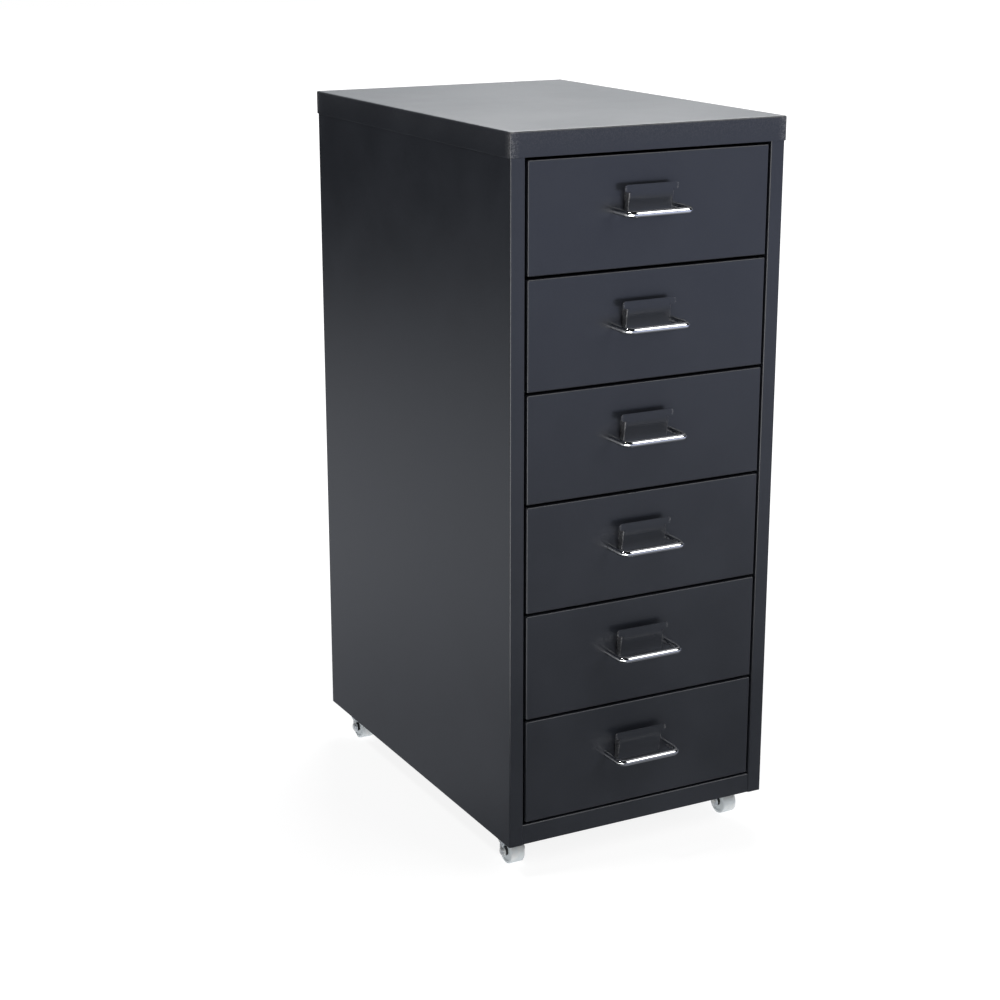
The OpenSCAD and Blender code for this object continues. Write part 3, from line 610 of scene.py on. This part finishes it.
def bent_wire(middle_x, face_y, height, width, reach, radius):
    """Tube round a U-shaped path in the plane z = height: ring k is its point on the path plus
    radius_k (cos a N + sin a Z), where N stands square to the path; the ends run to a point."""
    arm, bar = width / 2 - radius, -(reach - radius)
    bends = np.array([[-arm, 0.0], [-arm, bar], [arm, bar], [arm, 0.0]])
    path = rounded_path(bends, PULL_BEND, PULL_STEPS)
    start = path[:1] + np.array([[0, 0], [0, 0], [0, -CHAMFER]])
    end = path[-1:] + np.array([[0, -CHAMFER], [0, 0], [0, 0]])
    path = np.concatenate([start, path[1:-1], end])
    ring = np.concatenate([[0, radius - CHAMFER, radius], np.full(len(path) - 6, radius),
                           [radius, radius - CHAMFER, 0]])
    along = np.gradient(path, axis=0)
    along[:3], along[-3:] = (0, -1), (0, 1)
    along /= np.linalg.norm(along, axis=1, keepdims=True)
    square = np.stack([-along[:, 1], along[:, 0]], -1)
    a = np.linspace(0, 2 * np.pi, PULL_RING)
    across = ring[:, None] * np.cos(a)
    return np.stack([middle_x + path[:, :1] + across * square[:, :1],
                     face_y + path[:, 1:] + across * square[:, 1:],
                     height + ring[:, None] * np.sin(a)], -1)


def chrome_material():
    """Polished chrome: a mirror with faint clouds and fine polishing scratches in its gloss."""
    mat, tree, metal, where = new_material("chrome_wire")
    cloud = noise(tree, where, CHROME_CLOUDS, 3)
    drawn_out = add(tree, "Mapping", {"Vector": where, "Scale": SCRATCHES}).outputs[0]
    scratch = noise(tree, drawn_out, 1, 2)
    feed(tree, metal, {"Metallic": 1.0,
                       "Base Color": blended(tree, cloud, CHROME_DARK, CHROME_BRIGHT),
                       "Roughness": ramp(tree, scratch, *SCRATCH_EDGE, *CHROME_ROUGH),
                       "Normal": relief(tree, scratch, SCRATCH_STRENGTH, SCRATCH_DEPTH)})
    return mat


def zinc_material():
    """Bright zinc plate on pressed steel: bluish and faintly yellow clouds, a matt bloom in
    patches, and the drawn grain of the sheet as relief."""
    mat, tree, metal, where = new_material("zinc_plate")
    cloud = noise(tree, where, ZINC_CLOUDS, 3)
    grain = noise(tree, where, ZINC_GRAIN, 2)
    yellow = ramp(tree, cloud, *ZINC_TONE_EDGE, 0, 1)
    feed(tree, metal, {"Base Color": blended(tree, yellow, ZINC_BLUE, ZINC_YELLOW),
                       "Metallic": ramp(tree, cloud, *ZINC_BRIGHT_EDGE, *ZINC_METALLIC),
                       "Roughness": ramp(tree, cloud, *ZINC_BLOOM_EDGE, *ZINC_ROUGH),
                       "Normal": relief(tree, grain, GRAIN_STRENGTH, GRAIN_DEPTH)})
    return mat


chrome = chrome_material()
zinc = zinc_material()
for i in DRAWERS:
    low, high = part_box(f"drawer_{i}_pull")
    wire = shell(f"drawer_{i}_wire_pull", [bent_wire(
        (low.x + high.x) / 2, high.y, (low.z + high.z) / 2, high.x - low.x, high.y - low.y,
        (high.z - low.z) / 2)], sharp=40)
    fix(wire, f"drawer_{i}", "chrome_wire", chrome, f"drawer_{i}_pull")
    finish_node(zinc, f"drawer_{i}_pull_screws")

# Casters: a threaded stem with a swivel race, a pressed fork that turns on it, a domed axle
# rivet, and a moulded grey wheel on a bush whose black is painted shade, for the dark gap round
# the hub. Steel parts are zinc-plated.
CORNERS = ("fl", "fr", "bl", "br")
WHEEL_GREY, WHEEL_DUST = (0.64, 0.69, 0.715, 1), (0.70, 0.71, 0.71, 1)
# The bush's black is painted shade for the dark gap between the axle's head and the wheel.
BUSH_SHADE_BLACK, BUSH_DUST = (0.012, 0.012, 0.013, 1), (0.05, 0.05, 0.05, 1)
WHEEL_ROUGH, BUSH_ROUGH, CLOUD_ROUGHER, DUST_ROUGHER = 0.38, 0.35, 0.1, 0.2
FLOW_CLOUDS, DUST_EDGE, DUST_LEVELS = 120, (0.4, 0.62), (0.1, 0.8)
MOULD_GRAIN, MOULD_STRENGTH, MOULD_DEPTH = 3000, 0.1, 0.08 * MM
BUSH, BUSH_OUT, BORE = 4.5 * MM, 1.8 * MM, 2.06 * MM
BORE_CHAMFER, BUSH_CHAMFER = 0.3 * MM, 0.5 * MM
RIM, RIM_STEP, HOLLOW = 2.6 * MM, 0.4 * MM, 0.6 * MM
TREAD_ROUND, TREAD_STEPS = 0.9 * MM, 6
GROOVE, GROOVE_FLOOR, GROOVE_DEEP = 0.15 * MM, 0.05 * MM, 0.1 * MM
DUST_FROM, DUST_FADE = 1.2 * MM, 1.0 * MM
AXLE, RIVET_DOME, RIVET_HIGH = 2 * MM, 3.9 * MM, 1.9 * MM
CHEEK_OUT = 10.7 * MM
PRESSED_EDGE = 0.3 * MM


def plastic_material(name, colour, dusty, roughness):
    """Moulded plastic: faint flow clouds in the colour, a fine matt grain, and dust rubbed into
    the tread and the edges, where the attribute rub is high."""
    mat, tree, plastic, where = new_material(name)
    cloud = noise(tree, where, FLOW_CLOUDS, 3)
    grain = noise(tree, where, MOULD_GRAIN, 2)
    dust = maths(tree, "MULTIPLY", rub_attribute(tree),
                 ramp(tree, cloud, *DUST_EDGE, *DUST_LEVELS))
    rough = maths(tree, "MULTIPLY_ADD", dust, DUST_ROUGHER,
                  ramp(tree, cloud, *CLOUD_EDGE, roughness, roughness + CLOUD_ROUGHER))
    feed(tree, plastic, {"Base Color": blended(tree, dust, colour, dusty), "Roughness": rough,
                         "Normal": relief(tree, grain, MOULD_STRENGTH, MOULD_DEPTH)})
    return mat


def both_sides(half_section):
    """A half section (along, radius) followed by its mirror image, as one profile."""
    return np.concatenate([half_section, half_section[::-1] * [-1, 1]])


def wheel_profile(half, outer):
    """Section of a wheel, side to side: web, step up to the rim, the rounded edge of the tread,
    and the fine groove of the mould's joint in its middle."""
    edge = rounded_path(np.array([[half, outer - RIM], [half, outer], [0, outer]]),
                        TREAD_ROUND, TREAD_STEPS)
    return both_sides(np.concatenate([
        [[half - HOLLOW, BUSH - BUSH_CHAMFER], [half - HOLLOW, BUSH],
         [half - HOLLOW, outer - RIM - RIM_STEP], [half, outer - RIM]],
        edge[1:-1], [[GROOVE, outer], [GROOVE_FLOOR, outer - GROOVE_DEEP]]]))


def bush_profile(hub):
    """Closed section of a bush as long as the hub, with its bore and its edges chamfered."""
    half = np.array([[hub - BORE_CHAMFER, BORE], [hub, BORE + BORE_CHAMFER],
                     [hub, BUSH - BUSH_CHAMFER], [hub - BUSH_CHAMFER, BUSH]])
    return np.concatenate([both_sides(half), half[:1]])


def rivet_profile():
    """Section of an axle rivet: a quarter ellipse for the head outside each cheek of the fork."""
    a = np.radians(np.linspace(0, 90, DOME_STEPS))
    dome = np.stack([CHEEK_OUT + RIVET_HIGH * np.cos(a), RIVET_DOME * np.sin(a)], -1)
    return both_sides(np.concatenate([dome, [[CHEEK_OUT, AXLE]]]))


wheel_plastic = plastic_material("wheel_plastic", WHEEL_GREY, WHEEL_DUST, WHEEL_ROUGH)
bush_shade_plastic = plastic_material("bush_shade_plastic", BUSH_SHADE_BLACK, BUSH_DUST, BUSH_ROUGH)
for corner in CORNERS:
    low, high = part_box(f"caster_{corner}_wheel")
    centre = (low + high) / 2
    outer, hub = (high.z - low.z) / 2, (high.x - low.x) / 2
    profile = wheel_profile(hub - BUSH_OUT, outer)
    dust = np.clip((profile[:, 1] - (outer - DUST_FROM)) / DUST_FADE, 0, 1)
    wheel = shell(f"caster_{corner}_tyre", [turned(centre, *profile.T, 0)],
                  [np.repeat(dust, RING)], sharp=28)
    fix(wheel, f"wheel_{corner}", "wheel_plastic", wheel_plastic, f"caster_{corner}_wheel")
    # The black bush is painted shade.
    shade_bush = shell(f"caster_{corner}_bush", [turned(centre, *bush_profile(hub).T, 0)])
    fix(shade_bush, f"wheel_{corner}", "wheel_plastic", bush_shade_plastic)
    axle = shell(f"caster_{corner}_rivet", [turned(centre, *rivet_profile().T, 0)])
    fix(axle, f"swivel_{corner}", "zinc_plate", zinc, f"caster_{corner}_axle")
    fork = softened(f"caster_{corner}_pressed_fork", f"caster_{corner}_fork", PRESSED_EDGE)
    fix(fork, f"swivel_{corner}", "zinc_plate", zinc, f"caster_{corner}_fork")
    stem = softened(f"caster_{corner}_turned_stem", f"caster_{corner}_stem", CUT_EDGE)
    fix(stem, "cabinet", "zinc_plate", zinc, f"caster_{corner}_stem")
finish_node(zinc, "caster_nuts")
